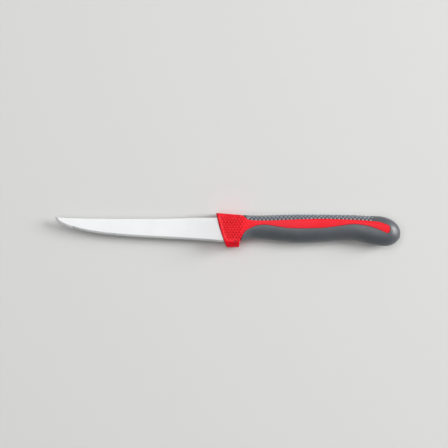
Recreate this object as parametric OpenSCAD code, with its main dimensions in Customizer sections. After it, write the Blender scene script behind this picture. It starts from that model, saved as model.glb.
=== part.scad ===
// Serrated vegetable knife with a two-colour moulded handle, lying on its side.
// +X runs from the tip to the butt, +Y from the edge to the back of the blade, +Z up.
// The origin is the middle of the footprint, on the surface that the knife lies on.

/* [Blade] */
// Length of the blade along its back, from the tip to the guard
blade_l = 111.9; // [90:0.1:140]
// Height of the blade where it enters the guard
blade_h = 17.6; // [14:0.1:20]
// Thickness of the blade between its two ground faces
blade_t = 1.2; // [0.9:0.1:1.6]
// Depth ground off each face of the blade; the tang keeps the full thickness of the steel
face_grind = 0.05; // [0.02:0.01:0.1]
// Depth of the gentle hollow in the blade's back
back_hollow = 1.05; // [0:0.05:2]
// How much higher the tip lies than the blade's back at the guard
tip_rise = 0.4; // [0:0.1:2]

/* [Teeth] */
// Distance from one tooth to the next along the edge
tooth_pitch = 1.4; // [1.2:0.05:2]
// Depth of the gap between two teeth, seen from the side
tooth_h = 0.5; // [0.4:0.05:0.65]
// Radius of each ground flute; a strip of the face is left between two flutes
flute_r = 0.4; // [0.35:0.01:0.5]
// Angle between the ground edge and the face of the blade
grind_angle = 36; // [28:1:42]
// Angle between the ground end of each tooth and the face of the blade
tooth_angle = 66; // [55:1:75]
// Length of the plain ground edge behind the tip, before the teeth start
plain_l = 12.8; // [8:0.1:30]

/* [Tang] */
// Length of the tang behind the front of the guard
tang_l = 76; // [55:0.5:92]
// Height of the tang where it leaves the guard
tang_h = 8.4; // [6.5:0.1:10]
// Height of the tang at its end
tang_end_h = 7; // [5.5:0.1:8]
// Diameter of each hole that the handle's plastic flows through
tang_hole_d = 4; // [3:0.1:4.8]
// Number of those holes
tang_holes = 3; // [2:1:4]

/* [Guard] */
// Length of the guard along the back of the handle
guard_l = 16; // [13:0.1:20]
// Height of the guard, from its top corner to its toe
guard_h = 23.8; // [20:0.1:28]
// Thickness of the guard
guard_t = 15; // [12:0.1:18]
// Angle by which the front of the guard leans back
guard_lean = 16.8; // [10:0.1:20]
// How far the front of the guard bows forward at half its height
guard_bow = 0.7; // [0:0.05:1]
// How far the top of the guard stands above the back of the blade
guard_rise = 3.4; // [2.5:0.1:4.5]
// Radius of the guard's front rim
rim_r = 1.4; // [0.8:0.1:2]
// Radius of the toe's rear corner
toe_r = 1; // [0.8:0.1:2.5]
// Height of the slanting face on each side of the toe
toe_face_h = 4.2; // [3:0.1:5.5]
// Angle between the slanting face and the flat side of the guard
toe_angle = 30; // [20:1:40]
// How far the flat sides and slanting faces of the guard fall away from level over their height
side_crown = 0.06; // [0.02:0.01:0.15]

/* [Handle] */
// Length of the handle, from the top corner of the guard to the butt
handle_l = 127.8; // [110:0.1:150]
// Height of the handle at the neck, just behind the guard
neck_h = 16.4; // [14:0.1:18]
// Thickness of the handle at the neck
neck_t = 11.8; // [10:0.1:14]
// Height of the handle at the palm swell
swell_h = 19.6; // [17:0.1:22]
// Thickness of the handle at the palm swell
swell_t = 14.4; // [12:0.1:18]
// Height of the handle at the waist behind the swell
waist_h = 17.6; // [15.5:0.1:20]
// Thickness of the handle at the waist
waist_t = 12.8; // [11:0.1:16]
// Height of the handle at the butt
butt_h = 20.7; // [18:0.1:23]
// Thickness of the handle at the butt
butt_t = 15; // [12:0.1:18]
// Length of the rounding at the upper corner of the butt
butt_upper_r = 16.2; // [14:0.1:24]
// Length of the rounding at the lower corner of the butt
butt_lower_r = 10.6; // [8:0.1:14]

/* [Soft grip] */
// Thickness of the soft plastic over the hard core
grip_wall = 2.2; // [1.6:0.1:2.6]
// How far the soft grip stands proud of the red side bands
grip_lip = 0.35; // [0.2:0.05:0.6]
// Thickness of the soft plastic behind the end of the core
butt_wall = 10; // [7:0.1:14]

/* [Hidden] */
$fn = 32;

// Gap between two pieces that are moulded round each other
mould_gap = 0.03;
// Overrun of a cut past the surface that it leaves
overrun = 5;
// Steps in one full turn of a handle section, outside and inside
ring_steps = 44;
core_ring_steps = 28;

// Steel colour and the two plastics
steel = [0.86, 0.87, 0.88];
red_plastic = [0.90, 0.13, 0.18];
grey_rubber = [0.40, 0.43, 0.45];

// Places along the knife, from the top corner of the guard: the tip lies at -blade_l.
// The guard's rear wall leans by its draft, and the grip starts at its foot.
wall_draft = toe_r / 4;
root_x = guard_l + wall_draft;
grip_l = handle_l - root_x;
lie_h = max(guard_t, swell_t, butt_t) / 2;
blade_back_y = guard_h / 2 - guard_rise;
blade_heel_y = blade_back_y - blade_h;
tip_y = blade_back_y + tip_rise;
function front_x(y) = (guard_h / 2 - y) * tan(guard_lean);
heel_x = front_x(blade_heel_y);
edge_run = blade_l + heel_x;
steel_t = blade_t + 2 * face_grind;

// The blade's back: share of its length, share of the hollow
back_shares = [[0, 0], [0.09, 0.54], [0.2, 0.86], [0.4, 1], [0.6, 0.92], [0.77, 0.54], [0.89, 0.1], [1, 0]];
// The cutting edge: share of its run, share of its drop below the tip
edge_shares = [[0, 0], [0.008, 0.12], [0.037, 0.26], [0.1, 0.43], [0.2, 0.594], [0.32, 0.703], [0.5, 0.796],
    [0.73, 0.873], [0.9, 0.944], [1, 1]];

// The handle's main places behind the guard, as shares of the grip's length
neck_share = 0.085;
swell_share = 0.393;
waist_share = 0.687;
butt_share = 0.9;
neck_x = root_x + neck_share * grip_l;
swell_x = root_x + swell_share * grip_l;
waist_x = root_x + waist_share * grip_l;
butt_x = root_x + butt_share * grip_l;

// How far the handle's back lies below the top of the guard, as shares of the height at each place
neck_drop_share = 0.1;
swell_drop_share = 0.053;
waist_drop_share = 0.08;
butt_drop_share = 0.112;
neck_y = guard_h / 2 - neck_drop_share * neck_h;
swell_y = guard_h / 2 - swell_drop_share * swell_h;
waist_y = guard_h / 2 - waist_drop_share * waist_h;
butt_y = guard_h / 2 - butt_drop_share * butt_h;

// How far the neck's fillet drops where it meets the guard's wall, as a share of the neck's height
fillet_drop_share = 0.11;
// Level of the hindmost point of the butt, as a share of the butt's height below its back
butt_point_share = 0.575;

// Rows of [place, value] for the handle's back and belly
back_rows = [[0, guard_h / 2], [neck_x, neck_y], [swell_x, swell_y], [waist_x, waist_y], [butt_x, butt_y],
    [handle_l, butt_y]];
belly_rows = [[root_x, neck_y - neck_h * (1 + fillet_drop_share)], [neck_x, neck_y - neck_h],
    [swell_x, swell_y - swell_h], [waist_x, waist_y - waist_h], [butt_x, butt_y - butt_h],
    [handle_l, butt_y - butt_h]];
// Rows of [place, half the thickness]
half_rows = [[0, guard_t / 2], [guard_l, guard_t / 2], [neck_x, neck_t / 2], [swell_x, swell_t / 2],
    [waist_x, waist_t / 2], [butt_x, butt_t / 2], [handle_l, butt_t / 2]];
// Rows of [place, share of the height where the handle is thickest, fullness above it, fullness below it,
// share of the thickness that is cut off to leave flat sides]
section_shares = [[0, 0.5, 7, 7, 0.04], [guard_l, 0.52, 6, 5, 0.04], [neck_x, 0.6, 2.8, 1.7, 0],
    [swell_x, 0.62, 2.6, 2.2, 0], [waist_x, 0.58, 2.6, 1.9, 0], [butt_x, 0.54, 2.4, 2.2, 0],
    [handle_l, 0.5, 2.2, 2.2, 0]];

// The red side band: share of the grip's length, then its lower and upper edge as shares of its height
band_shares = [[0, -0.04, 1.06], [0.025, 0.27, 0.98], [0.039, 0.375, 0.905], [0.052, 0.425, 0.845],
    [0.07, 0.475, 0.808], [0.104, 0.57, 0.79], [0.147, 0.615, 0.787], [0.254, 0.537, 0.805],
    [0.31, 0.508, 0.821], [0.378, 0.51, 0.835], [0.503, 0.513, 0.852], [0.622, 0.58, 0.836],
    [0.711, 0.65, 0.822], [0.784, 0.64, 0.824], [0.855, 0.56, 0.818], [0.89, 0.495, 0.785],
    [0.909, 0.455, 0.76]];
// End of the band, as a share of the grip's length
band_end_share = 0.93;

// Smooth curve through the rows of a table, read in one column at a place, flat at each high and low point
function slope(rows, col, i) = (rows[i + 1][col] - rows[i][col]) / (rows[i + 1][0] - rows[i][0]);
function tangent(rows, col, i) =
    i == 0 ? slope(rows, col, 0)
    : i == len(rows) - 1 ? slope(rows, col, i - 1)
    : let (a = slope(rows, col, i - 1), b = slope(rows, col, i)) a * b > 0 ? 2 * a * b / (a + b) : 0;
function blend(rows, col, i, t) =
    let (w = rows[i + 1][0] - rows[i][0], s = t * t * (3 - 2 * t))
    rows[i][col] * (1 - s) + rows[i + 1][col] * s
    + w * tangent(rows, col, i) * t * (1 - t) ^ 2 - w * tangent(rows, col, i + 1) * t ^ 2 * (1 - t);
function track(rows, col, x) =
    x <= rows[0][0] ? rows[0][col]
    : x >= rows[len(rows) - 1][0] ? rows[len(rows) - 1][col]
    : let (i = max([for (k = [0:len(rows) - 2]) if (x >= rows[k][0]) k]))
    blend(rows, col, i, (x - rows[i][0]) / (rows[i + 1][0] - rows[i][0]));

// Blade outline
function blade_back(x) =
    let (u = (x + blade_l) / blade_l) tip_y - tip_rise * u - back_hollow * track(back_shares, 1, u);
function blade_edge(x) =
    let (u = (x + blade_l) / edge_run) tip_y - (tip_y - blade_heel_y) * track(edge_shares, 1, u);
edge_probe = tooth_pitch / 4;
function edge_angle(x) =
    let (a = max(x - edge_probe, -blade_l), b = x + edge_probe) atan2(blade_edge(b) - blade_edge(a), b - a);
// Places of the teeth, walked along the edge from the first one to the guard
function tooth_places(x) =
    x > heel_x - tooth_pitch / 2 ? []
    : concat([x], tooth_places(x + tooth_pitch * cos(edge_angle(x))));
// Places of the plain ground edge, closer together at the tip, where it curves most
plain_steps = 9;
plain_places = [for (i = [0:plain_steps]) -blade_l + plain_l * (i / plain_steps) ^ 2];
outline_steps = 60;
back_places = [for (i = [0:2:outline_steps]) -blade_l + blade_l * i / outline_steps];
edge_places = [for (i = [0:outline_steps]) -blade_l + edge_run * (i / outline_steps) ^ 2];

// Tang: it keeps to the thickest level of the handle, and the blade's shoulder stands inside the guard
shoulder_share = 0.72;
tang_level_share = 0.28;
shoulder_l = guard_l * shoulder_share;
tang_y = (blade_back_y + blade_heel_y) / 2 + tang_h * tang_level_share;
tang_chamfer = tang_end_h / 4;
// The holes stand evenly along the tang, the first one this share of a step behind the guard
first_hole_share = 0.6;
hole_step = (tang_l - guard_l) / tang_holes;
hole_places = [for (i = [0:tang_holes - 1]) guard_l + (i + first_hole_share) * hole_step];

module blade_outline() {
    polygon(concat(
        [for (x = back_places) [x, blade_back(x)]],
        [[shoulder_l, blade_back_y], [shoulder_l, blade_heel_y]],
        [for (i = [outline_steps:-1:1]) [edge_places[i], blade_edge(edge_places[i])]]));
    translate([0, tang_y])
        polygon([[0, tang_h / 2], [tang_l - tang_chamfer, tang_end_h / 2],
            [tang_l, tang_end_h / 2 - tang_chamfer], [tang_l, tang_chamfer - tang_end_h / 2],
            [tang_l - tang_chamfer, -tang_end_h / 2], [0, -tang_h / 2]]);
}

// One round-bottomed flute, ground from the edge up to the face; its deepest line leaves the back face
// at the tooth's depth
flute_turn = 30;
module flute() {
    translate([0, tooth_h + blade_t / tan(grind_angle), blade_t / 2])
        rotate([grind_angle + 90, 0, 0])
            translate([0, 0, -flute_r])
                linear_extrude(height = overrun)
                    polygon(concat(
                        [[flute_r, overrun], [-flute_r, overrun]],
                        [for (turn = [180:flute_turn:360]) flute_r * [cos(turn), 1 + sin(turn)]]));
}

// Cut that leaves a ground flat along a stretch of the edge, at an angle to the face
module edge_flat(length, angle) {
    translate([0, blade_t / tan(angle), blade_t / 2])
        rotate([angle, 0, 0])
            translate([0, -overrun, 0])
                cube([length, overrun, overrun]);
}

// Grinding of both faces of the blade, which stops just ahead of the guard and leaves the tang as it was
grind_stop = guard_bow + rim_r / 4;
module face_grinding() {
    for (side = [0, 1])
        mirror([0, 0, side])
            translate([0, 0, blade_t / 2])
                linear_extrude(height = overrun)
                    polygon([[-blade_l - overrun, guard_h], [front_x(guard_h) - grind_stop, guard_h],
                        [front_x(-guard_h) - grind_stop, -guard_h], [-blade_l - overrun, -guard_h]]);
}

// One flat of the plain ground edge, between two places
module plain_flat(a, b) {
    run = [b - a, blade_edge(b) - blade_edge(a)];
    translate([a, blade_edge(a), 0])
        rotate([0, 0, atan2(run.y, run.x)])
            translate([-flute_r / 2, 0, 0])
                edge_flat(norm(run) + flute_r, grind_angle);
}

module blade() {
    color(steel)
    place_knife()
    difference() {
        linear_extrude(height = steel_t, center = true)
            difference() {
                blade_outline();
                for (x = hole_places)
                    translate([x, tang_y])
                        circle(d = tang_hole_d);
            }
        face_grinding();
        for (i = [0:plain_steps - 1])
            plain_flat(plain_places[i], plain_places[i + 1]);
        for (x = tooth_places(plain_l - blade_l))
            translate([x, blade_edge(x), 0])
                rotate([0, 0, edge_angle(x)]) {
                    flute();
                    edge_flat(tooth_pitch, tooth_angle);
                }
    }
}

// Rounding of an end: share of the full size left at a place
function rounding(x, start, length) = x <= start ? 1 : sqrt(max(0, 1 - ((x - start) / length) ^ 2));
butt_point_y = butt_y - butt_point_share * butt_h;
function closed_in(y, x, r) = butt_point_y + (y - butt_point_y) * rounding(x, handle_l - r, r);
function handle_back(x) = closed_in(track(back_rows, 1, x), x, butt_upper_r);
// Belly of the handle: the guard's flat toe with its round rear corner, then the neck and the grip
function toe(x) = let (past = max(0, x - guard_l + toe_r)) toe_r - guard_h / 2 - sqrt(toe_r ^ 2 - past ^ 2);
function handle_belly(x) = x <= guard_l ? toe(x) : closed_in(track(belly_rows, 1, x), x, butt_lower_r);
function handle_half(x) = track(half_rows, 1, x) * rounding(x, handle_l - butt_lower_r, butt_lower_r);

// Rim of the guard's front, round at the sides, less so at the toe, and nearly sharp at the top
rim_top_share = 0.3;
rim_toe_share = 0.7;
function rim(x) = x >= rim_r ? 0 : rim_r - sqrt(rim_r ^ 2 - (rim_r - x) ^ 2);
// Lean of the front, which fades out towards the guard's rear wall
function lean_x(x, y) =
    let (fade = max(0, 1 - x / guard_l))
    x + fade * (front_x(y) - guard_bow * (1 - (2 * y / guard_h) ^ 2));

// Most that half the thickness may be: the guard has flat sides, and slanting faces down to its toe
function side_limit(x, y, half) =
    x > guard_l ? half
    : let (down = max(0, toe_face_h - guard_h / 2 - y))
    half - down * tan(toe_angle) - side_crown * ((2 * y / guard_h) ^ 2 + (down / toe_face_h) ^ 2);

// One section of the handle, drawn in from its outer surface by inset
function power(value, p) = sign(value) * abs(value) ^ p;
function section(x, inset, steps) =
    let (back = handle_back(x) - inset - rim_top_share * rim(x),
        belly = handle_belly(x) + inset + rim_toe_share * rim(x), half = handle_half(x) - inset - rim(x),
        level = belly + track(section_shares, 1, x) * (back - belly))
    [for (i = [0:steps - 1])
        let (turn = 360 * i / steps, up = sin(turn) >= 0, full = 2 / track(section_shares, up ? 2 : 3, x),
            y = level + (up ? back - level : level - belly) * power(sin(turn), full),
            wide = half / (1 - track(section_shares, 4, x)) * power(cos(turn), full),
            limit = side_limit(x, y, half))
        [lean_x(x, y), y, max(-limit, min(limit, wide))]];

// Solid through a row of sections, each two neighbours spanned by a hull
module loft(sections) {
    for (i = [0:len(sections) - 2])
        hull()
            polyhedron(
                points = concat(sections[i], sections[i + 1]),
                faces = [[for (k = [0:len(sections[i]) - 1]) k],
                    [for (k = [0:len(sections[i + 1]) - 1]) len(sections[i]) + k]]);
}

// Places of the sections: the rim, the guard, its rear wall, the neck, the grip and the round butt
round_angles = [0:15:75];
neck_steps = 5;
body_steps = 22;
last_turn = 88;
body_end = handle_l - butt_lower_r;
guard_places = concat(
    [for (a = round_angles) rim_r * (1 - cos(a))],
    [guard_l / 2],
    [for (a = round_angles) guard_l - toe_r * (1 - sin(a))],
    [guard_l]);
grip_places = concat(
    [for (i = [0:neck_steps - 1]) root_x + (neck_x - root_x) * i / neck_steps],
    [for (i = [0:body_steps]) neck_x + (body_end - neck_x) * i / body_steps],
    [for (a = [12:12:84]) body_end + butt_lower_r * sin(a)],
    [body_end + butt_lower_r * sin(last_turn)]);

module outer_shape() {
    loft([for (x = concat(guard_places, grip_places)) section(x, 0, ring_steps)]);
}

// Level of the red plastic: flush on the guard, and below the grip's lips from the neck on
function band_inset(x) = track([[guard_l, 0], [neck_x, grip_lip]], 1, x);
module band_shape() {
    loft([for (x = concat(guard_places, grip_places)) section(x, band_inset(x), ring_steps)]);
}

// The core inside the soft grip, from the guard to its blunt end in the butt
core_steps = 18;
module inner_core(grow) {
    start = guard_l - rim_r;
    end = handle_l - butt_wall + grow;
    loft([for (i = [0:core_steps])
        let (x = start + (end - start) * i / core_steps)
        section(x, grip_wall - grow, core_ring_steps)]);
}

// Side view of all that is red: the guard, the neck and the band with its round end.
// Its places stand closer together behind the guard, where the band flares.
band_steps = 40;
function band_edge(col, u) =
    let (x = root_x + u * grip_l, belly = handle_belly(x), height = handle_back(x) - belly)
    belly + track(band_shares, col, u) * height;
band_last_share = band_shares[len(band_shares) - 1][0];
band_crowding_share = 1.6;
band_places = [for (i = [0:band_steps - 1]) band_last_share * (i / band_steps) ^ band_crowding_share];
function band_end_point(turn) =
    let (low = band_edge(1, band_last_share), high = band_edge(2, band_last_share))
    [root_x + grip_l * (band_last_share + (band_end_share - band_last_share) * cos(turn)),
        (low + high) / 2 + (high - low) / 2 * sin(turn)];
module red_view() {
    polygon(concat(
        [[-overrun, -guard_h], [root_x, -guard_h]],
        [for (u = band_places) [root_x + u * grip_l, band_edge(1, u)]],
        [for (turn = [-90:15:90]) band_end_point(turn)],
        [for (i = [band_steps - 1:-1:0]) let (u = band_places[i]) [root_x + u * grip_l, band_edge(2, u)]],
        [[root_x, guard_h], [-overrun, guard_h]]));
}
module red_zone(grow) {
    linear_extrude(height = 2 * guard_t, center = true)
        offset(delta = grow)
            red_view();
}

// Slot for the blade, with the posts that fill the holes of the tang
module tang_slot() {
    linear_extrude(height = steel_t + 2 * mould_gap, center = true)
        difference() {
            offset(delta = mould_gap)
                blade_outline();
            for (x = hole_places)
                translate([x, tang_y])
                    circle(d = tang_hole_d - 2 * mould_gap);
        }
}

module handle_core() {
    color(red_plastic)
    place_knife()
    difference() {
        union() {
            intersection() {
                band_shape();
                red_zone(0);
            }
            inner_core(0);
        }
        tang_slot();
    }
}

module soft_grip() {
    color(grey_rubber)
    place_knife()
    difference() {
        outer_shape();
        red_zone(mould_gap);
        inner_core(mould_gap);
    }
}

// Moves the knife from its own axis to the middle of its footprint
module place_knife() {
    translate([(blade_l - handle_l) / 2, 0, lie_h])
        children();
}

blade();
handle_core();
soft_grip();
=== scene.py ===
import math

import bpy
import numpy as np
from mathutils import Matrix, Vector


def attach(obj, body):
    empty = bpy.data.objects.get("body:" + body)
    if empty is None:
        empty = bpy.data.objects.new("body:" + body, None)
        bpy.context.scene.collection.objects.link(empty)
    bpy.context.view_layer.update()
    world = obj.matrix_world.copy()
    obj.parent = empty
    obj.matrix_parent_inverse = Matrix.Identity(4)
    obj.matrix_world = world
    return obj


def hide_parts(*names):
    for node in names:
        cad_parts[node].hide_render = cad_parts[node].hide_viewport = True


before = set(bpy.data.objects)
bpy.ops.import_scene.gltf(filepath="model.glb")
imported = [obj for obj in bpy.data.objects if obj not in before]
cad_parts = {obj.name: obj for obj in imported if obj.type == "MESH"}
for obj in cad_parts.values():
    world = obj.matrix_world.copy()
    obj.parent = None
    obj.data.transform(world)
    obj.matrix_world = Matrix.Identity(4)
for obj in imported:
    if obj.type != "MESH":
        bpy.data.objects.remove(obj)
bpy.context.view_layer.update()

# Sizes are in millimetres along the knife: x = 0 at the top corner of the guard with the tip at -x,
# y = 0 at half the height of the guard, z = 0 in the middle of the blade.
MM = 0.001
BLADE_L = 111.9
HANDLE_L = 127.8
LIE_H = 7.5
KNIFE_ORIGIN = np.array([(BLADE_L - HANDLE_L) / 2, 0, LIE_H])

GUARD_L = 16.0
GUARD_H = 23.8
GUARD_T = 15.0
GUARD_LEAN = math.radians(16.8)
GUARD_BOW = 0.7
RIM_R = 1.4
RIM_TOP_SHARE = 0.3
RIM_TOE_SHARE = 0.7
TOE_R = 1.0
TOE_FACE_H = 4.2
TOE_ANGLE = math.radians(30)
SIDE_CROWN = 0.06
SIDE_BLEND = 0.25
CROWN_FADE = 5.0

ROOT_X = GUARD_L + TOE_R / 4
GRIP_L = HANDLE_L - ROOT_X
NECK_X, SWELL_X, WAIST_X, BUTT_X = (ROOT_X + share * GRIP_L for share in (0.085, 0.393, 0.687, 0.9))
NECK_H, SWELL_H, WAIST_H, BUTT_H = 16.4, 19.6, 17.6, 20.7
NECK_T, SWELL_T, WAIST_T, BUTT_T = 11.8, 14.4, 12.8, 15.0
NECK_Y = GUARD_H / 2 - 0.1 * NECK_H
SWELL_Y = GUARD_H / 2 - 0.053 * SWELL_H
WAIST_Y = GUARD_H / 2 - 0.08 * WAIST_H
BUTT_Y = GUARD_H / 2 - 0.112 * BUTT_H
BUTT_POINT_Y = BUTT_Y - 0.575 * BUTT_H
BUTT_UPPER_R = 16.2
BUTT_LOWER_R = 10.6

GRIP_WALL = 2.2
GRIP_LIP = 0.35
BUTT_WALL = 10.0
LIP_R = 0.55
SEAM_R = 0.3

# Rows of place and value for the handle's back and belly, and for half its thickness
BACK_ROWS = [[0, GUARD_H / 2], [NECK_X, NECK_Y], [SWELL_X, SWELL_Y], [WAIST_X, WAIST_Y], [BUTT_X, BUTT_Y],
             [HANDLE_L, BUTT_Y]]
BELLY_ROWS = [[ROOT_X, NECK_Y - 1.11 * NECK_H], [NECK_X, NECK_Y - NECK_H], [SWELL_X, SWELL_Y - SWELL_H],
              [WAIST_X, WAIST_Y - WAIST_H], [BUTT_X, BUTT_Y - BUTT_H], [HANDLE_L, BUTT_Y - BUTT_H]]
HALF_ROWS = [[0, GUARD_T / 2], [GUARD_L, GUARD_T / 2], [NECK_X - 2, NECK_T / 2 + 0.4],
             [NECK_X + 7, NECK_T / 2], [SWELL_X, SWELL_T / 2], [WAIST_X, WAIST_T / 2],
             [BUTT_X, BUTT_T / 2], [HANDLE_L, BUTT_T / 2]]
# Rows of place, share of the height where the handle is thickest, fullness above it, fullness below it,
# share of the thickness that is cut off to leave flat sides
SECTION_ROWS = [[0, 0.5, 7, 7, 0.04], [GUARD_L, 0.52, 6, 5, 0.04], [GUARD_L + 4, 0.55, 4.7, 3, 0.025],
                [NECK_X, 0.6, 2.8, 2, 0], [NECK_X + 8, 0.605, 2.75, 1.75, 0], [SWELL_X, 0.62, 2.6, 2.2, 0],
                [WAIST_X, 0.58, 2.6, 1.9, 0], [BUTT_X, 0.54, 2.4, 2.2, 0], [HANDLE_L, 0.5, 2.2, 2.2, 0]]
# The red side band: share of the grip's length, then its lower and upper edge as shares of its height
BAND_ROWS = [[0, -0.04, 1.06], [0.025, 0.27, 0.98], [0.039, 0.375, 0.905], [0.052, 0.425, 0.845],
             [0.07, 0.475, 0.808], [0.104, 0.57, 0.79], [0.147, 0.615, 0.787], [0.254, 0.537, 0.805],
             [0.31, 0.508, 0.821], [0.378, 0.51, 0.835], [0.503, 0.513, 0.852], [0.622, 0.58, 0.836],
             [0.711, 0.65, 0.822], [0.784, 0.64, 0.824], [0.855, 0.56, 0.818], [0.89, 0.495, 0.785],
             [0.909, 0.455, 0.76]]
BAND_LAST_X = ROOT_X + BAND_ROWS[-1][0] * GRIP_L
BAND_END_X = ROOT_X + 0.93 * GRIP_L

# Raised dots on the guard: pitch along a row, distance of the rows, radius, and one dot's place
GUARD_DOT_PITCH, GUARD_DOT_ROW, GUARD_DOT_R = 2.09, 1.735, 0.8
GUARD_DOT_AT = (10.36, 2.29)
GUARD_DOT_ROWS, GUARD_DOT_COLUMNS = range(-9, 9), range(-8, 12)
# They keep behind its front, between two levels, and clear of the red's lower and upper edge
GUARD_DOTS_FRONT, GUARD_DOTS_LOW, GUARD_DOTS_HIGH = 2.6, -6.6, 10.3
ROOM_ABOVE_EDGE, ROOM_BELOW_EDGE = 2.2, 0.9
# Along the back of the grip: pitch, rows, radius, a dot's place, the first row's place as a share of a row
GRIP_DOT_PITCH, GRIP_DOT_ROWS, GRIP_DOT_R = 2.73, 4, 0.98
GRIP_DOT_AT, GRIP_ROW_SHARE = 65.6, 0.55
GRIP_DOTS_START, GRIP_DOTS_END = 21.6, 106.6
# A dot's rings as shares of its radius and height, from its foot to its top, and its sides
DOT_RINGS = [(1.0, -0.35), (1.0, 0.02), (0.96, 0.28), (0.87, 0.5), (0.72, 0.7), (0.52, 0.86), (0.27, 0.965)]
DOT_SIDES = 16
# Depth of the fields that the dots stand in, which is the dots' height, the width of the slope down to
# them, and the lengths over which they fade out behind the guard and at the ends of the grip
GUARD_FIELD_D, GRIP_FIELD_D, FIELD_SLOPE = 0.7, 0.75, 0.8
NECK_FADE, GRIP_FADE = 9.0, 2.5
# The guard's field: where its slope starts behind the front, the slope's width there, and the field's
# lowest and highest level
FIELD_FRONT, FRONT_SLOPE, FIELD_LOW, FIELD_HIGH = 1.2, 2.4, -7.0, 10.6
# The grip's field: how far it reaches past the first and last dots, and how far its slope reaches out
FIELD_BEFORE, FIELD_BEHIND, FIELD_OUT = 1, 2, 0.35
# Width of the line of painted shade on the guard's front and top rims
RIM_LINE = 0.8
# Lowest and highest y, and first and last x, of the painted shade in the middle of the toe face
TOE_PATCH = (-10.9, -7.5, 9.0, 15.0)
# Least depth of the field at which a dot stands on the guard, and the share of the full depth from which
# the plastic between the dots takes the darker colour of painted shade
LEAST_DEPTH, FIELD_SHARE = 0.15, 0.5

# Distances of the sections: on the guard, at the neck, from there to the swell, along the band, at its round
# end, from just before its last point to just behind it, and the least distance of two sections
GUARD_STEP, NECK_STEP, GRIP_STEP, BAND_STEP = 0.5, 0.12, 0.45, 0.6
END_STEP, LAST_STEP, LEAST_STEP = 0.12, 0.04, 0.015
LAST_BEFORE, LAST_BEHIND = 0.3, 0.5
# Sections on a rounded rim, sections on the butt, and the angle in degrees that these reach
RIM_SECTIONS, BUTT_SECTIONS, BUTT_ANGLE = 13, 60, 89.6
# How far past the band's last point its border is followed
BORDER_PAST = 0.05
# Columns of half a section along the back, on the band and along the belly, and the close columns next to
# the border on either side of it
STRIP_COLUMNS, BAND_COLUMNS, BELLY_COLUMNS = 18, 32, 26
LIP_ROWS = np.array([0, 0.03, 0.1, 0.22, 0.38, 0.58, 0.85])
SEAM_ROWS = np.array([0, 0.03, 0.1, 0.2, 0.34])
# The most that the close columns spread where the border is steep, and the share of a run that they take
MOST_STRETCH, MOST_SHARE = 2.5, 0.4
# Points that measure a run of columns, points that measure the strip that the dots stand on, rows across the
# guard's front, and decimal places to which corners of the grid are taken as one
FINE_POINTS, ROW_POINTS, FRONT_ROWS, WELD_DIGITS = 80, 60, 6, 5

# Length of the plain edge at the tip, then in metres where the teeth start in the shared frame, and half the
# length over which the painted shade of the flutes comes in
PLAIN_TIP_L = 12.6
TEETH_START = (KNIFE_ORIGIN[0] - BLADE_L + PLAIN_TIP_L) * MM
TEETH_BLEND = 0.0001
# A face turns from plain into ground as its normal turns away from z, and towards the edge, by these shares
PLAIN_Z, GROUND_Z, PLAIN_Y, GROUND_Y = 0.99, 0.9, -0.05, -0.15

# Darker and lighter colour of the steel, painted shade of its flutes and painted reflection on its plain
# ground edge
STEEL = (0.51, 0.515, 0.52), (0.54, 0.545, 0.55)
FLUTE_PAINTED_SHADE, EDGE_PAINTED_REFLECTION = (0.24, 0.24, 0.245), (0.92, 0.92, 0.925)
# Noise of the steel's colour and its ground lines across the blade, in features per metre, and their detail
STEEL_PATCHES, STEEL_LINES, LINE_DETAIL = 60.0, (6000, 150, 150), 3.0
# Lowest and highest roughness, depth and strength of the lines, and how metallic plain and ground steel are;
# the ground steel is made nearly unmetallic so that it carries the painted shade and painted reflection
STEEL_ROUGHNESS, LINE_DEPTH, LINE_STRENGTH = (0.33, 0.41), 0.00001, 0.25
PLAIN_METALLIC, GROUND_METALLIC = 1.0, 0.25
# Plastics: darker and lighter colour, reflection, noise of the colour, how far the roughness varies, and
# number, depth and strength of the grains
RED = ([0.86, 0.004, 0.016], [0.9, 0.006, 0.022], 0.3, 90.0, 0.07, 4500.0, 0.00003, 0.3)
GREY = ([0.073, 0.084, 0.095], [0.085, 0.096, 0.108], 1.0, 120.0, 0.09, 4000.0, 0.00005, 0.5)
SPECKS, GRAIN_DETAIL = 2500.0, 3.0
# Their three materials: plain, darker as painted shade between the dots, and lighter as a painted
# highlight on the dots, with share of the colour and roughness
RED_KINDS = [("red_plastic", 1.0, 0.43), ("red_plastic_low", 0.74, 0.5), ("red_plastic_worn", 1.1, 0.36)]
GREY_KINDS = [("grey_rubber", 1.0, 0.43), ("grey_rubber_painted_shade", 0.5, 0.6), ("grey_rubber_painted_highlight", 2.6, 0.42)]
PLAIN, PAINTED_SHADE, PAINTED_HIGHLIGHT = range(3)
# Floor's colour, roughness and reflection
FLOOR_COLOUR, FLOOR_ROUGHNESS, FLOOR_REFLECTION = (0.725, 0.725, 0.715, 1), 0.8, 0.2

# The photograph's width, a pixel's size on the knife, and the camera's place above it
PHOTO_PIXELS, PIXEL = 448, 0.694
CAMERA_X, CAMERA_Y = -2.45, 4.2
SENSOR_WIDTH, LENS, CLIP_END = 36, 100, 10
# Lights: place, target, size and power
LIGHTS = {"key": ((0.05, 1.36, 2.67), (0, 0, 0), (2.6, 1.4), 19.4),
          "overhead": ((-0.38, 0.05, 1.6), (-0.38, 0.05, 0), (1.3, 1.3), 11.0),
          "side": ((2.0, 0.5, 1.1), (0, 0, 0), (1.0, 1.0), 48.5)}
# Brightness of the studio's walls and ceiling, and the heights between which one turns into the other
WALL_LIGHT, CEILING_LIGHT, WALL_TOP, CEILING_EDGE = 0.25, 0.01, 0.35, 0.65
FLOOR_HALF = 1.5


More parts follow.
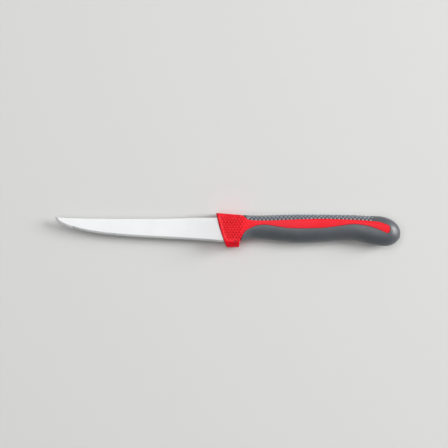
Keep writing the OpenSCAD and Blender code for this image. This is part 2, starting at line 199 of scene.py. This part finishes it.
def track(rows, column, x):
    """Smooth curve through the rows, flat at each high and low point."""
    rows = np.array(rows, float)
    places, values = rows[:, 0], rows[:, column]
    widths = np.diff(places)
    slopes = np.diff(values) / widths
    tangents = np.concatenate([slopes[:1], np.zeros(len(rows) - 2), slopes[-1:]])
    before, after = slopes[:-1], slopes[1:]
    rising = before * after > 0
    tangents[1:-1][rising] = 2 * before[rising] * after[rising] / (before[rising] + after[rising])
    x = np.clip(x, places[0], places[-1])
    i = np.clip(np.searchsorted(places, x, side="right") - 1, 0, len(rows) - 2)
    t = (x - places[i]) / widths[i]
    share = t * t * (3 - 2 * t)
    lift = widths[i] * t * (1 - t) * (tangents[i] * (1 - t) - tangents[i + 1] * t)
    return values[i] * (1 - share) + values[i + 1] * share + lift


def rounding(x, length):
    """Share of the full size that is left at x, where an end is rounded over a length."""
    past = np.clip((x - HANDLE_L + length) / length, 0, 1)
    return np.sqrt(1 - past ** 2)


def handle_back(x):
    return BUTT_POINT_Y + (track(BACK_ROWS, 1, x) - BUTT_POINT_Y) * rounding(x, BUTT_UPPER_R)


def handle_belly(x):
    past = np.clip(x - GUARD_L + TOE_R, 0, TOE_R)
    toe = TOE_R - GUARD_H / 2 - np.sqrt(TOE_R ** 2 - past ** 2)
    grip = BUTT_POINT_Y + (track(BELLY_ROWS, 1, x) - BUTT_POINT_Y) * rounding(x, BUTT_LOWER_R)
    return np.where(x <= GUARD_L, toe, grip)


def handle_half(x):
    return track(HALF_ROWS, 1, x) * rounding(x, BUTT_LOWER_R)


def ease(value):
    """Smooth step from 0 to 1."""
    value = np.clip(value, 0, 1)
    return value * value * (3 - 2 * value)


def rim(x):
    """How far the guard's front rim draws the section in."""
    return RIM_R - np.sqrt(RIM_R ** 2 - np.clip(RIM_R - x, 0, RIM_R) ** 2)


def front_lean(y):
    """How far the guard's front lies behind its top corner."""
    return (GUARD_H / 2 - y) * math.tan(GUARD_LEAN) - GUARD_BOW * (1 - (2 * y / GUARD_H) ** 2)


def section_frame(x, inset):
    """Back, belly, half thickness and thickest level of the section at x, drawn in by an inset."""
    back = handle_back(x) - inset - RIM_TOP_SHARE * rim(x)
    belly = handle_belly(x) + inset + RIM_TOE_SHARE * rim(x)
    half = handle_half(x) - inset - rim(x)
    return back, belly, half, belly + track(SECTION_ROWS, 1, x) * (back - belly)


def soft_min(a, b, blend):
    """Smaller of two values, with a rounded change from one to the other."""
    near = np.maximum(blend - np.abs(a - b), 0)
    return np.minimum(a, b) - near ** 2 / (4 * blend)


def surface(x, turn, inset):
    """Points of the handle's surface; turn runs from 90 degrees at its back to -90 at its belly."""
    back, belly, half, level = section_frame(x, inset)
    up = turn >= 0
    full = np.where(up, track(SECTION_ROWS, 2, x), track(SECTION_ROWS, 3, x))
    sine, cosine = np.abs(np.sin(turn)), np.maximum(np.cos(turn), 0)
    reach = (sine ** full + cosine ** full) ** (-1 / full)
    y = level + np.where(up, back - level, belly - level) * sine * reach
    widest = half / (1 - track(SECTION_ROWS, 4, x))
    down = np.maximum(0, TOE_FACE_H - GUARD_H / 2 - y)
    crown = SIDE_CROWN * ((2 * y / GUARD_H) ** 2 + (down / TOE_FACE_H) ** 2)
    fall = crown * ease((GUARD_L - x) / CROWN_FADE) + down * math.tan(TOE_ANGLE)
    limit = half - np.where(x > GUARD_L, 0, fall)
    blend = np.clip(widest - half, 1e-6, SIDE_BLEND)
    z = soft_min(widest * cosine * reach, limit, blend)
    lean = np.maximum(0, 1 - x / GUARD_L) * front_lean(y)
    return np.stack(np.broadcast_arrays(x + lean, y, np.maximum(z, 0)), -1)


def turn_at(x, y, inset):
    """Turn at which the section at x passes the height y."""
    back, belly, half, level = section_frame(x, inset)
    up = y >= level
    share = np.clip(np.where(up, (y - level) / (back - level), (level - y) / (level - belly)), 0, 1)
    full = np.where(up, track(SECTION_ROWS, 2, x), track(SECTION_ROWS, 3, x))
    turn = np.arctan2(share, (1 - share ** full) ** (1 / full))
    return np.where(up, turn, -turn)


def band_edge(column, x):
    """Height of the band's lower or upper edge."""
    belly = handle_belly(x)
    return belly + track(BAND_ROWS, column, (x - ROOT_X) / GRIP_L) * (handle_back(x) - belly)


def border_levels(x):
    """Lower and upper edge of all that is red at x: the guard is red all over, and the band ends round."""
    low = band_edge(1, np.minimum(x, BAND_LAST_X))
    high = band_edge(2, np.minimum(x, BAND_LAST_X))
    past = np.clip((x - BAND_LAST_X) / (BAND_END_X - BAND_LAST_X), 0, 1)
    middle = (low + high) / 2
    half = (high - low) / 2 * np.sqrt(1 - past ** 2)
    return np.where(x < ROOT_X, -GUARD_H, middle - half), np.where(x < ROOT_X, GUARD_H, middle + half)


def handle_places():
    """Places of the sections, closer together where the shape or the border turns quickly."""
    quarter = np.radians(np.linspace(0, 90, RIM_SECTIONS))
    butt_turn = np.radians(np.linspace(0, BUTT_ANGLE, BUTT_SECTIONS))
    places = np.concatenate([
        RIM_R * (1 - np.cos(quarter)),
        np.arange(RIM_R + GUARD_STEP, GUARD_L - TOE_R, GUARD_STEP),
        GUARD_L - TOE_R * (1 - np.sin(quarter)),
        np.arange(ROOT_X, NECK_X, NECK_STEP),
        np.arange(NECK_X, SWELL_X, GRIP_STEP),
        np.arange(SWELL_X, BAND_LAST_X, BAND_STEP),
        np.arange(BAND_LAST_X, BAND_END_X - LAST_BEFORE, END_STEP),
        np.arange(BAND_END_X - LAST_BEFORE, BAND_END_X + LAST_BEHIND, LAST_STEP),
        HANDLE_L - BUTT_LOWER_R * (1 - np.sin(butt_turn))])
    places = np.unique(places)
    return places[np.concatenate([[True], np.diff(places) > LEAST_STEP])]


def spread(x, start, end, inset, rows_at_start, rows_at_end, count, stretch):
    """Turns of the columns between two turns, evenly spaced on the surface with close rows at the ends."""
    fine = start[:, None] + (end - start)[:, None] * np.linspace(0, 1, FINE_POINTS)
    points = surface(x[:, None], fine, inset)
    steps = np.linalg.norm(np.diff(points, axis=1), axis=2)
    lengths = np.concatenate([np.zeros((len(x), 1)), np.cumsum(steps, axis=1)], 1)
    turns = []
    for i, total in enumerate(lengths[:, -1]):
        room = max(rows_at_start[-1], rows_at_end[-1], 1e-9)
        scale = min(stretch[i], MOST_SHARE * total / room)
        first, last = rows_at_start * scale, total - rows_at_end[::-1] * scale
        middle = np.linspace(first[-1], last[0], count + 1)
        wanted = np.concatenate([first[:-1], middle, last[1:]])
        closed = total <= 1e-4
        turns.append(np.full(len(wanted), start[i]) if closed else np.interp(wanted, lengths[i], fine[i]))
    return np.array(turns)


def column_turns(x, inset):
    """Turns of all columns of half a section, from the back over the band to the belly."""
    low, high = border_levels(x)
    upper, lower = turn_at(x, high, inset), turn_at(x, low, inset)
    slope = np.maximum(np.abs(np.gradient(low, x)), np.abs(np.gradient(high, x)))
    stretch = np.clip(np.hypot(1, slope), 1, MOST_STRETCH)
    top, bottom, none = np.full(len(x), math.pi / 2), np.full(len(x), -math.pi / 2), np.zeros(1)
    strip = spread(x, top, upper, inset, none, LIP_ROWS, STRIP_COLUMNS, stretch)
    band = spread(x, upper, lower, inset, SEAM_ROWS, SEAM_ROWS, BAND_COLUMNS, stretch)
    belly = spread(x, lower, bottom, inset, LIP_ROWS, none, BELLY_COLUMNS, stretch)
    return np.concatenate([strip, band[:, 1:], belly[:, 1:]], 1), strip.shape[1] - 1, band.shape[1] - 1


def border_distance(points, border):
    """Distance of points from the border between the two plastics, as seen from the side."""
    nearest = np.full(points.shape[:-1], np.inf)
    for start, end in zip(border[:-1], border[1:]):
        run = end - start
        share = np.clip((points - start) @ run / max(run @ run, 1e-12), 0, 1)
        nearest = np.minimum(nearest, np.linalg.norm(points - start - share[..., None] * run, axis=-1))
    return nearest


def away_from(border, level, x):
    """Distance of a grid's points from the border, without an end on the guard, which is all red."""
    away = border_distance(level[..., :2], border)
    away[x < ROOT_X] = np.inf
    return away


def edge_fall(distance, radius):
    """How far a rounded edge has fallen at a distance from its end."""
    near = np.maximum(radius - distance, 0)
    return radius - np.sqrt(np.maximum(radius ** 2 - near ** 2, 0))


def with_ends(points):
    """Closes a half grid: across the guard's front, and to the hindmost point of the butt."""
    front = [points[0] * [1, 1, share] for share in np.linspace(0, 1, FRONT_ROWS + 1)[:-1]]
    pole = np.broadcast_to([HANDLE_L, BUTT_POINT_Y, 0], points[:1].shape)
    return np.concatenate([np.array(front), points, pole])


def both_sides(half_grid):
    """Whole sections from their +z half: the columns run round the knife."""
    return np.concatenate([half_grid, half_grid[:, -2:0:-1] * [1, 1, -1]], 1) + 0.0


def inner_level(x, inset):
    """The core's surface under the grip, which is meant to end blunt inside the butt.

    Its rows past that end come out as nan, because column_turns divides by their steps of zero.
    """
    end = HANDLE_L - BUTT_WALL
    turns, _, _ = column_turns(np.minimum(x, end), inset)
    points = surface(np.minimum(x, end)[:, None], turns, inset)
    share = np.clip((HANDLE_L - x) / BUTT_WALL, 0, 1)[:, None, None]
    middle = points[-1].mean(axis=0) * [1, 1, 0]
    return np.where(x[:, None, None] > end, middle + (points - middle) * share, points)


def lip_depth(x):
    """How deep the red lies below the grey: not at all on the guard, by the full lip from the neck on."""
    return track([[GUARD_L, 0], [NECK_X, GRIP_LIP]], 1, x)


def handle_grids():
    """The grip's outside, the red surface, the core under the grip, and the zone of each column."""
    x = handle_places()
    low, high = border_levels(x)
    inside = (x >= ROOT_X) & (x <= BAND_END_X + BORDER_PAST)
    border = np.concatenate([np.stack([x, high], 1)[inside], np.stack([x, low], 1)[inside][::-1]])
    turns, strip, band = column_turns(x, 0)
    level = surface(x[:, None], turns, 0)
    away = away_from(border, level, x)
    outside = surface(x[:, None], turns, np.maximum(edge_fall(away, LIP_R), grip_field(level, away)))
    lip = lip_depth(x)[:, None]
    red_turns, _, _ = column_turns(x, GRIP_LIP)
    level = surface(x[:, None], red_turns, lip)
    seam = edge_fall(away_from(border, level, x), SEAM_R)
    red = surface(x[:, None], red_turns, lip + seam + guard_field(level))
    under = inner_level(x, GRIP_WALL)
    zones = np.repeat([0, 1, 2], [strip, band, turns.shape[1] - 1 - strip - band])
    grids = [both_sides(with_ends(grid)) for grid in (outside, red, under)]
    return grids, np.concatenate([zones, zones[::-1]])


def grid_faces(ids, zones, wanted):
    """Faces of a closed grid in the wanted zones, without the corners that fall together."""
    faces = []
    after = np.roll(ids, -1, axis=1)
    for i in range(len(ids) - 1):
        for k in np.nonzero(np.isin(zones, wanted))[0]:
            corners = dict.fromkeys((ids[i, k], after[i, k], after[i + 1, k], ids[i + 1, k]))
            if len(corners) > 2:
                faces.append(tuple(int(corner) for corner in corners))
    return faces


def guard_field(points):
    """How deep the field of dots lies below the guard's surface."""
    x, y = points[..., 0], points[..., 1]
    front = (x - front_lean(y) - FIELD_FRONT) / FRONT_SLOPE
    levels = (FIELD_HIGH - y) / FIELD_SLOPE, (y - FIELD_LOW) / FIELD_SLOPE
    shares = [ease(share) for share in (front, *levels)]
    return GUARD_FIELD_D * np.prod(shares, axis=0) * ease((ROOT_X + NECK_FADE - x) / NECK_FADE)


def guard_painted_shade(points):
    """Mask of painted shade: 1 on the guard's front and top rims and in the middle of its toe face, 0
    elsewhere.
    """
    x, y = points[..., 0], points[..., 1]
    front = x - front_lean(y) < RIM_LINE
    top = (y > GUARD_H / 2 - RIM_LINE) & (x < ROOT_X)
    toe = (y > TOE_PATCH[0]) & (y < TOE_PATCH[1]) & (x > TOE_PATCH[2]) & (x < TOE_PATCH[3])
    return (front | top | toe).astype(float)


def grip_field(points, away):
    """How deep the field of dots lies below the back of the grip."""
    x, y = points[..., 0], points[..., 1]
    above = y > (border_levels(x)[0] + border_levels(x)[1]) / 2
    rooms = x - GRIP_DOTS_START + FIELD_BEFORE, GRIP_DOTS_END + FIELD_BEHIND - x
    ends = [ease(room / GRIP_FADE) for room in rooms]
    return GRIP_FIELD_D * above * np.prod(ends, axis=0) * ease((away + FIELD_OUT) / FIELD_SLOPE)


def closed_mesh(visible, hidden, patch, rest):
    """A visible patch and a hidden rest, joined by walls along the patch's border."""
    shift = len(visible)
    edges = {(a, b) for face in patch for a, b in zip(face, face[1:] + face[:1])}
    walls = [(b, a, a + shift, b + shift) for a, b in edges if (b, a) not in edges]
    faces = patch + [tuple(corner + shift for corner in face) for face in rest] + sorted(walls)
    used, flat = np.unique([corner for face in faces for corner in face], return_inverse=True)
    cuts = np.cumsum([len(face) for face in faces])[:-1]
    return np.concatenate([visible, hidden])[used], [part.tolist() for part in np.split(flat, cuts)]


def handle_meshes():
    """Points and faces of the core and of the grip."""
    (outside, red, under), zones = handle_grids()
    flat = [grid.reshape(-1, 3) for grid in (outside, red, under)]
    _, first, ids = np.unique(np.round(flat[0], WELD_DIGITS), axis=0, return_index=True,
                               return_inverse=True)
    outside_points, red_points, under_points = (grid[first] for grid in flat)
    ids = ids.reshape(outside.shape[:2])
    red_faces, grey_faces = grid_faces(ids, zones, [1]), grid_faces(ids, zones, [0, 2])
    core = closed_mesh(red_points, under_points, red_faces, grey_faces)
    grip = closed_mesh(outside_points, under_points, grey_faces, [face[::-1] for face in grey_faces])
    return core, grip


def surface_frame(x, turn, inset):
    """A point of the surface with its normal and two directions across it."""
    step = 0.02
    at = surface(np.array(x), np.array(turn), inset)
    along = surface(np.array(x + step), np.array(turn), inset) - at
    round_it = surface(np.array(x), np.array(turn - step), inset) - at
    normal = np.cross(round_it, along)
    normal /= np.linalg.norm(normal)
    along /= np.linalg.norm(along)
    return at, normal, along, np.cross(normal, along)


def dot_mesh(at, normal, along, across, radius, height):
    """One raised dot: a low round dome whose foot stands in the surface."""
    angles = np.linspace(0, 2 * math.pi, DOT_SIDES + 1)[:-1]
    points = [at + DOT_RINGS[0][1] * height * normal]
    for share, level in DOT_RINGS:
        for angle in angles:
            sideways = math.cos(angle) * along + math.sin(angle) * across
            points.append(at + share * radius * sideways + level * height * normal)
    points.append(at + height * normal)
    count, rings = DOT_SIDES, len(DOT_RINGS)
    faces = []
    for k in range(count):
        after = (k + 1) % count
        faces.append((0, 1 + after, 1 + k))
        faces.append((1 + count * (rings - 1) + k, 1 + count * (rings - 1) + after, 1 + count * rings))
        for ring in range(rings - 1):
            base = 1 + count * ring
            faces.append((base + k, base + after, base + count + after, base + count + k))
    return np.array(points), faces


def with_dots(mesh, dots):
    """Adds raised dots, and their mirror images on the other side, to a mesh."""
    points, faces = [mesh[0]], list(mesh[1])
    start = len(mesh[0])
    for dot_points, dot_faces in dots:
        for side in (1, -1):
            points.append(dot_points * [1, 1, side])
            faces += [[corner + start for corner in face[::side]] for face in dot_faces]
            start += len(dot_points)
    return np.concatenate(points), faces


def guard_dots():
    """Dots in staggered rows on the side of the guard and down the slope to the neck."""
    dots = []
    for row in GUARD_DOT_ROWS:
        y = GUARD_DOT_AT[1] + row * GUARD_DOT_ROW
        for column in GUARD_DOT_COLUMNS:
            view_x = GUARD_DOT_AT[0] + (column + row % 2 / 2) * GUARD_DOT_PITCH
            lean = float(front_lean(y))
            x = view_x if view_x >= GUARD_L else (view_x - lean) / (1 - lean / GUARD_L)
            low, high = (float(level) for level in border_levels(np.array(view_x)))
            depth = float(guard_field(np.array([view_x, y])))
            inside = x > GUARD_DOTS_FRONT and GUARD_DOTS_LOW < y < GUARD_DOTS_HIGH
            if not (inside and low + ROOM_ABOVE_EDGE < y < high - ROOM_BELOW_EDGE and depth > LEAST_DEPTH):
                continue
            below = depth + float(lip_depth(x))
            turn = float(turn_at(np.array(x), np.array(y), below))
            dots.append(dot_mesh(*surface_frame(x, turn, below), GUARD_DOT_R, depth))
    return dots


def grip_dots():
    """Dots in staggered rows along the back of the grip."""
    dots = []
    count = int((GRIP_DOTS_END - GRIP_DOTS_START) / GRIP_DOT_PITCH) + 1
    first = math.ceil((GRIP_DOTS_START - GRIP_DOT_AT) / GRIP_DOT_PITCH)
    for row in range(GRIP_DOT_ROWS):
        for step in range(first, first + count):
            x = GRIP_DOT_AT + (step + row % 2 / 2) * GRIP_DOT_PITCH
            high = border_levels(np.array(x))[1]
            upper = float(turn_at(np.array(x), high, 0))
            fine = np.linspace(upper, math.pi / 2, ROW_POINTS)
            points = surface(np.full(ROW_POINTS, x), fine, 0)
            lengths = np.concatenate([[0], np.cumsum(np.linalg.norm(np.diff(points, axis=0), axis=1))])
            turn = float(np.interp(lengths[-1] * (row + GRIP_ROW_SHARE) / GRIP_DOT_ROWS, lengths, fine))
            depth = float(grip_field(surface(np.array(x), np.array(turn), 0), 1))
            dots.append(dot_mesh(*surface_frame(x, turn, depth), GRIP_DOT_R, depth))
    return dots


def face_kinds(mesh, plain_count, depth):
    """Material of each face: plain, painted shade between the dots, or a painted highlight on the dots,
    which come last.
    """
    faces = mesh[1]
    kinds = [PAINTED_SHADE if depth[list(face)].mean() > FIELD_SHARE else PLAIN for face in faces[:plain_count]]
    return kinds + [PAINTED_HIGHLIGHT] * (len(faces) - plain_count)


def add_piece(name, mesh, materials, kinds):
    """An object in the shared frame, in metres, that rides on the knife."""
    points, faces = mesh
    data = bpy.data.meshes.new(name)
    data.from_pydata(((points + KNIFE_ORIGIN) * MM).tolist(), [], faces)
    data.polygons.foreach_set("use_smooth", [True] * len(faces))
    for material in materials:
        data.materials.append(material)
    data.polygons.foreach_set("material_index", kinds)
    data.update()
    piece = bpy.data.objects.new(name, data)
    bpy.context.collection.objects.link(piece)
    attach(piece, "root")
    return piece


class Nodes:
    """A material's node tree, with short ways to add and join nodes."""

    def __init__(self, name):
        self.material = bpy.data.materials.new(name)
        self.material.use_nodes = True
        self.tree = self.material.node_tree
        self.shader = self.tree.nodes["Principled BSDF"]

    def add(self, kind, **inputs):
        node = self.tree.nodes.new(kind)
        for key, value in inputs.items():
            node.inputs[key.replace("_", " ")].default_value = value
        return node

    def join(self, source, target):
        self.tree.links.new(source, target)

    def noise(self, scale, stretch=(1, 1, 1), detail=2.0):
        """Noise over the object; scale counts features per metre."""
        place = self.add("ShaderNodeTexCoord")
        mapping = self.add("ShaderNodeMapping", Scale=stretch)
        texture = self.add("ShaderNodeTexNoise", Scale=scale, Detail=detail)
        self.join(place.outputs["Object"], mapping.inputs["Vector"])
        self.join(mapping.outputs["Vector"], texture.inputs["Vector"])
        return texture.outputs["Fac"]

    def vary(self, source, low, high, socket):
        """Drives a shader's value between two limits."""
        spread_node = self.add("ShaderNodeMapRange", To_Min=low, To_Max=high)
        self.join(source, spread_node.inputs["Value"])
        self.join(spread_node.outputs["Result"], self.shader.inputs[socket])

    def tint(self, source, dark, light):
        """Drives the base colour between two colours."""
        ramp = self.add("ShaderNodeValToRGB")
        ramp.color_ramp.elements[0].color = (*dark, 1)
        ramp.color_ramp.elements[1].color = (*light, 1)
        ramp.color_ramp.elements[0].position = 0.3
        ramp.color_ramp.elements[1].position = 0.7
        self.join(source, ramp.inputs["Fac"])
        self.join(ramp.outputs["Color"], self.shader.inputs["Base Color"])

    def scaled(self, source, low, high):
        """A value's place between two limits, as a share."""
        node = self.add("ShaderNodeMapRange", From_Min=low, From_Max=high)
        self.join(source, node.inputs["Value"])
        return node.outputs["Result"]

    def combine(self, operation, *sources):
        node = self.add("ShaderNodeMath")
        node.operation = operation
        for socket, source in zip(node.inputs, sources):
            self.join(source, socket)
        return node.outputs["Value"]

    def place_x(self):
        """Place along the knife."""
        place, split = self.add("ShaderNodeTexCoord"), self.add("ShaderNodeSeparateXYZ")
        self.join(place.outputs["Object"], split.inputs["Vector"])
        return split.outputs["X"]

    def ground_steel(self):
        """Shares of the surface that are ground, flutes of the teeth, which take painted shade, and plain
        ground edge, which takes a painted reflection.
        """
        geometry, normal = self.add("ShaderNodeNewGeometry"), self.add("ShaderNodeSeparateXYZ")
        self.join(geometry.outputs["True Normal"], normal.inputs["Vector"])
        tilted = self.scaled(self.combine("ABSOLUTE", normal.outputs["Z"]), PLAIN_Z, GROUND_Z)
        ground = self.combine("MULTIPLY", tilted, self.scaled(normal.outputs["Y"], PLAIN_Y, GROUND_Y))
        behind = self.scaled(self.place_x(), TEETH_START - TEETH_BLEND, TEETH_START + TEETH_BLEND)
        flute = self.combine("MULTIPLY", behind, ground)
        return ground, flute, self.combine("SUBTRACT", ground, flute)

    def mix_in(self, source, colour):
        """Mixes another base colour in by a share."""
        mix = self.tree.nodes.new("ShaderNodeMix")
        mix.data_type = "RGBA"
        mix.inputs["B"].default_value = (*colour, 1)
        self.join(source, mix.inputs["Factor"])
        self.join(self.shader.inputs["Base Color"].links[0].from_socket, mix.inputs["A"])
        self.join(mix.outputs["Result"], self.shader.inputs["Base Color"])

    def bump(self, source, distance, strength):
        node = self.add("ShaderNodeBump", Distance=distance, Strength=strength)
        self.join(source, node.inputs["Height"])
        self.join(node.outputs["Normal"], self.shader.inputs["Normal"])


def steel_material():
    """Bright ground steel with fine lines across the blade, with painted shade in the flutes of the teeth
    and a painted reflection on the plain ground edge.
    """
    nodes = Nodes("blade_steel")
    lines = nodes.noise(1.0, STEEL_LINES, LINE_DETAIL)
    nodes.tint(nodes.noise(STEEL_PATCHES), *STEEL)
    ground, flute, edge = nodes.ground_steel()
    # Painted shade darkens the flutes of the teeth, and a painted reflection lightens the plain ground edge
    nodes.mix_in(flute, FLUTE_PAINTED_SHADE)
    nodes.mix_in(edge, EDGE_PAINTED_REFLECTION)
    nodes.vary(ground, PLAIN_METALLIC, GROUND_METALLIC, "Metallic")
    nodes.vary(lines, *STEEL_ROUGHNESS, "Roughness")
    nodes.bump(lines, LINE_DEPTH, LINE_STRENGTH)
    return nodes.material


def plastic_material(plastic, name, share, roughness, fade=None):
    """Moulded plastic with its grain; share makes it lighter for a painted highlight or darker for painted
    shade, and fades to 1 over the fade.
    """
    dark, light, reflection, patches, uneven, grains, depth, strength = plastic
    nodes = Nodes(name)
    nodes.shader.inputs["Specular IOR Level"].default_value = reflection
    nodes.tint(nodes.noise(patches), share * np.array(dark), share * np.array(light))
    if fade:
        nodes.mix_in(nodes.scaled(nodes.place_x(), *fade), light)
    nodes.vary(nodes.noise(SPECKS), roughness - uneven, roughness + uneven, "Roughness")
    nodes.bump(nodes.noise(grains, detail=GRAIN_DETAIL), depth, strength)
    return nodes.material


def floor_material():
    """Plain pale floor."""
    nodes = Nodes("floor")
    nodes.shader.inputs["Base Color"].default_value = FLOOR_COLOUR
    nodes.shader.inputs["Roughness"].default_value = FLOOR_ROUGHNESS
    nodes.shader.inputs["Specular IOR Level"].default_value = FLOOR_REFLECTION
    return nodes.material


def dress_handle():
    """The core and the grip, built finer than their solids and in their place."""
    core, grip = handle_meshes()
    red_mesh, grey_mesh = with_dots(core, guard_dots()), with_dots(grip, grip_dots())
    # Painted shade: darker plastic in the fields between the dots, on the guard's rims and its toe face;
    # painted highlight: lighter plastic on the dots
    red_painted_shade = np.maximum(guard_field(red_mesh[0]) / GUARD_FIELD_D, guard_painted_shade(red_mesh[0]))
    red_kinds = face_kinds(red_mesh, len(core[1]), red_painted_shade)
    grey_kinds = face_kinds(grey_mesh, len(grip[1]), grip_field(grey_mesh[0], 1) / GRIP_FIELD_D)
    # The red's painted shade fades back to the plain red behind the guard
    fade = [(KNIFE_ORIGIN[0] + ROOT_X + ahead) * MM for ahead in (1, NECK_FADE / 2)]
    reds = [plastic_material(RED, *kind, fade if i == PAINTED_SHADE else None) for i, kind in enumerate(RED_KINDS)]
    greys = [plastic_material(GREY, *kind) for kind in GREY_KINDS]
    core_piece = add_piece("handle_core_piece", red_mesh, reds, red_kinds)
    grip_piece = add_piece("soft_grip_piece", grey_mesh, greys, grey_kinds)
    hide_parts("handle_core")
    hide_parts("soft_grip")


def dress_blade():
    """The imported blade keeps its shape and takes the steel."""
    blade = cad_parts["blade"]
    for slot in blade.material_slots:
        slot.material = steel_material()


def add_floor():
    corners = [(-1, -1), (1, -1), (1, 1), (-1, 1)]
    data = bpy.data.meshes.new("floor")
    data.from_pydata([(FLOOR_HALF * x, FLOOR_HALF * y, 0) for x, y in corners], [], [(0, 1, 2, 3)])
    data.materials.append(floor_material())
    floor = bpy.data.objects.new("floor", data)
    bpy.context.collection.objects.link(floor)


def add_light(name, place, target, size, power):
    """A square soft light that looks at a target."""
    data = bpy.data.lights.new(name, "AREA")
    data.shape = "RECTANGLE"
    data.size, data.size_y = size
    data.energy = power
    light = bpy.data.objects.new(name, data)
    light.location = place
    light.rotation_euler = (Vector(target) - Vector(place)).to_track_quat("-Z", "Y").to_euler()
    bpy.context.collection.objects.link(light)


def add_world():
    """Studio walls: light near the horizon, dark above."""
    world = bpy.data.worlds.new("world")
    world.use_nodes = True
    tree = world.node_tree
    background = tree.nodes["Background"]
    background.inputs["Color"].default_value = (1, 1, 1, 1)
    place, split = tree.nodes.new("ShaderNodeTexCoord"), tree.nodes.new("ShaderNodeSeparateXYZ")
    walls = tree.nodes.new("ShaderNodeMapRange")
    heights = ("From Min", WALL_TOP), ("From Max", CEILING_EDGE)
    for key, value in (*heights, ("To Min", WALL_LIGHT), ("To Max", CEILING_LIGHT)):
        walls.inputs[key].default_value = value
    tree.links.new(place.outputs["Generated"], split.inputs["Vector"])
    tree.links.new(split.outputs["Z"], walls.inputs["Value"])
    tree.links.new(walls.outputs["Result"], background.inputs["Strength"])
    bpy.context.scene.world = world


def add_camera():
    """Square above the knife, as in the photograph."""
    data = bpy.data.cameras.new("camera")
    data.sensor_width = SENSOR_WIDTH
    data.lens = LENS
    data.clip_end = CLIP_END
    camera = bpy.data.objects.new("camera", data)
    height = LIE_H * MM + PHOTO_PIXELS * PIXEL * MM * LENS / SENSOR_WIDTH
    camera.location = (CAMERA_X * MM, CAMERA_Y * MM, height)
    bpy.context.collection.objects.link(camera)
    bpy.context.scene.camera = camera


add_camera()
add_world()
add_floor()
for name, settings in LIGHTS.items():
    add_light(name, *settings)
dress_blade()
dress_handle()
bpy.context.scene.view_settings.view_transform = "Standard"
